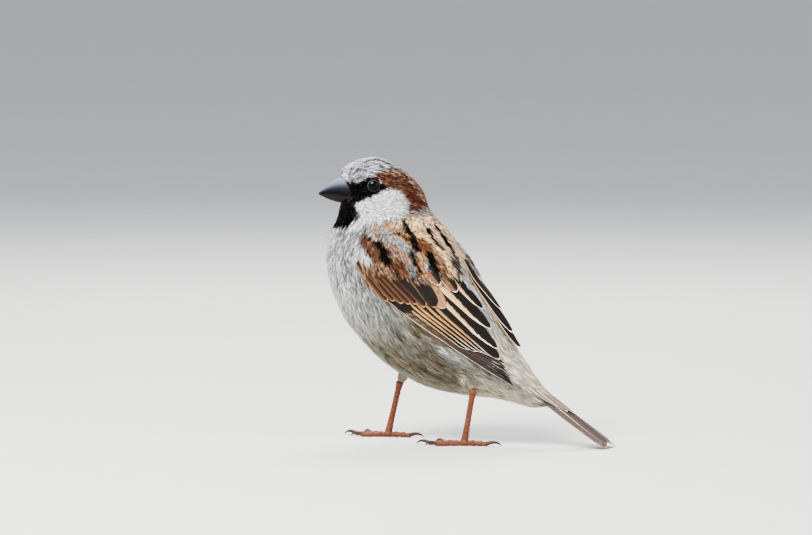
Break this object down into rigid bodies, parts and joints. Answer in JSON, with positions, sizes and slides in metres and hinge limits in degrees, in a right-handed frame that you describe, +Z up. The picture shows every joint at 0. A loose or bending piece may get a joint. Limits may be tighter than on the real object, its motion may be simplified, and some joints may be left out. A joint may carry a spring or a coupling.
{
  "type": "house sparrow",
  "caption": "Life-size cock house sparrow standing upright with folded wings, head turned to its left and tail tip on the floor, a still display model.",
  "frame": {"origin": "on the floor under the middle of the whole bird's box", "axes": "+Z up; the bill points towards -X and a little towards -Y, the tail towards +X, and the bird's left side faces -Y"},
  "size_m": [0.1138, 0.042, 0.106],
  "materials": {
    "plumage": "soft grey body plumage with a black bib, chestnut nape and streaked brown back",
    "wing_feathers": "rufous and buff vanes with blackish centres and pale edges",
    "tail_feathers": "dull grey-brown vanes with thin pale edges",
    "bill": "satin blue-black horn",
    "eye": "wet dark brown eye",
    "foot_skin": "scaly red-brown leg skin",
    "claw": "satin dark brown horn"
  },
  "bodies": {
    "root": {"head": "plumage", "neck": "plumage", "trunk": "plumage", "tail_coverts": "plumage", "bill_upper": "bill", "bill_lower": "bill", "eye_left": "eye", "eye_right": "eye", "wing_left_coverts": "wing_feathers", "wing_left_secondaries": "wing_feathers", "wing_left_primaries": "wing_feathers", "wing_right_coverts": "wing_feathers", "wing_right_secondaries": "wing_feathers", "wing_right_primaries": "wing_feathers", "tail": "tail_feathers", "thigh_left": "plumage", "tarsus_left": "foot_skin", "toe_left_hind": "foot_skin", "claw_left_hind": "claw", "toe_left_inner": "foot_skin", "claw_left_inner": "claw", "toe_left_middle": "foot_skin", "claw_left_middle": "claw", "toe_left_outer": "foot_skin", "claw_left_outer": "claw", "thigh_right": "plumage", "tarsus_right": "foot_skin", "toe_right_hind": "foot_skin", "claw_right_hind": "claw", "toe_right_inner": "foot_skin", "claw_right_inner": "claw", "toe_right_middle": "foot_skin", "claw_right_middle": "claw", "toe_right_outer": "foot_skin", "claw_right_outer": "claw"}
  },
  "joints": []
}
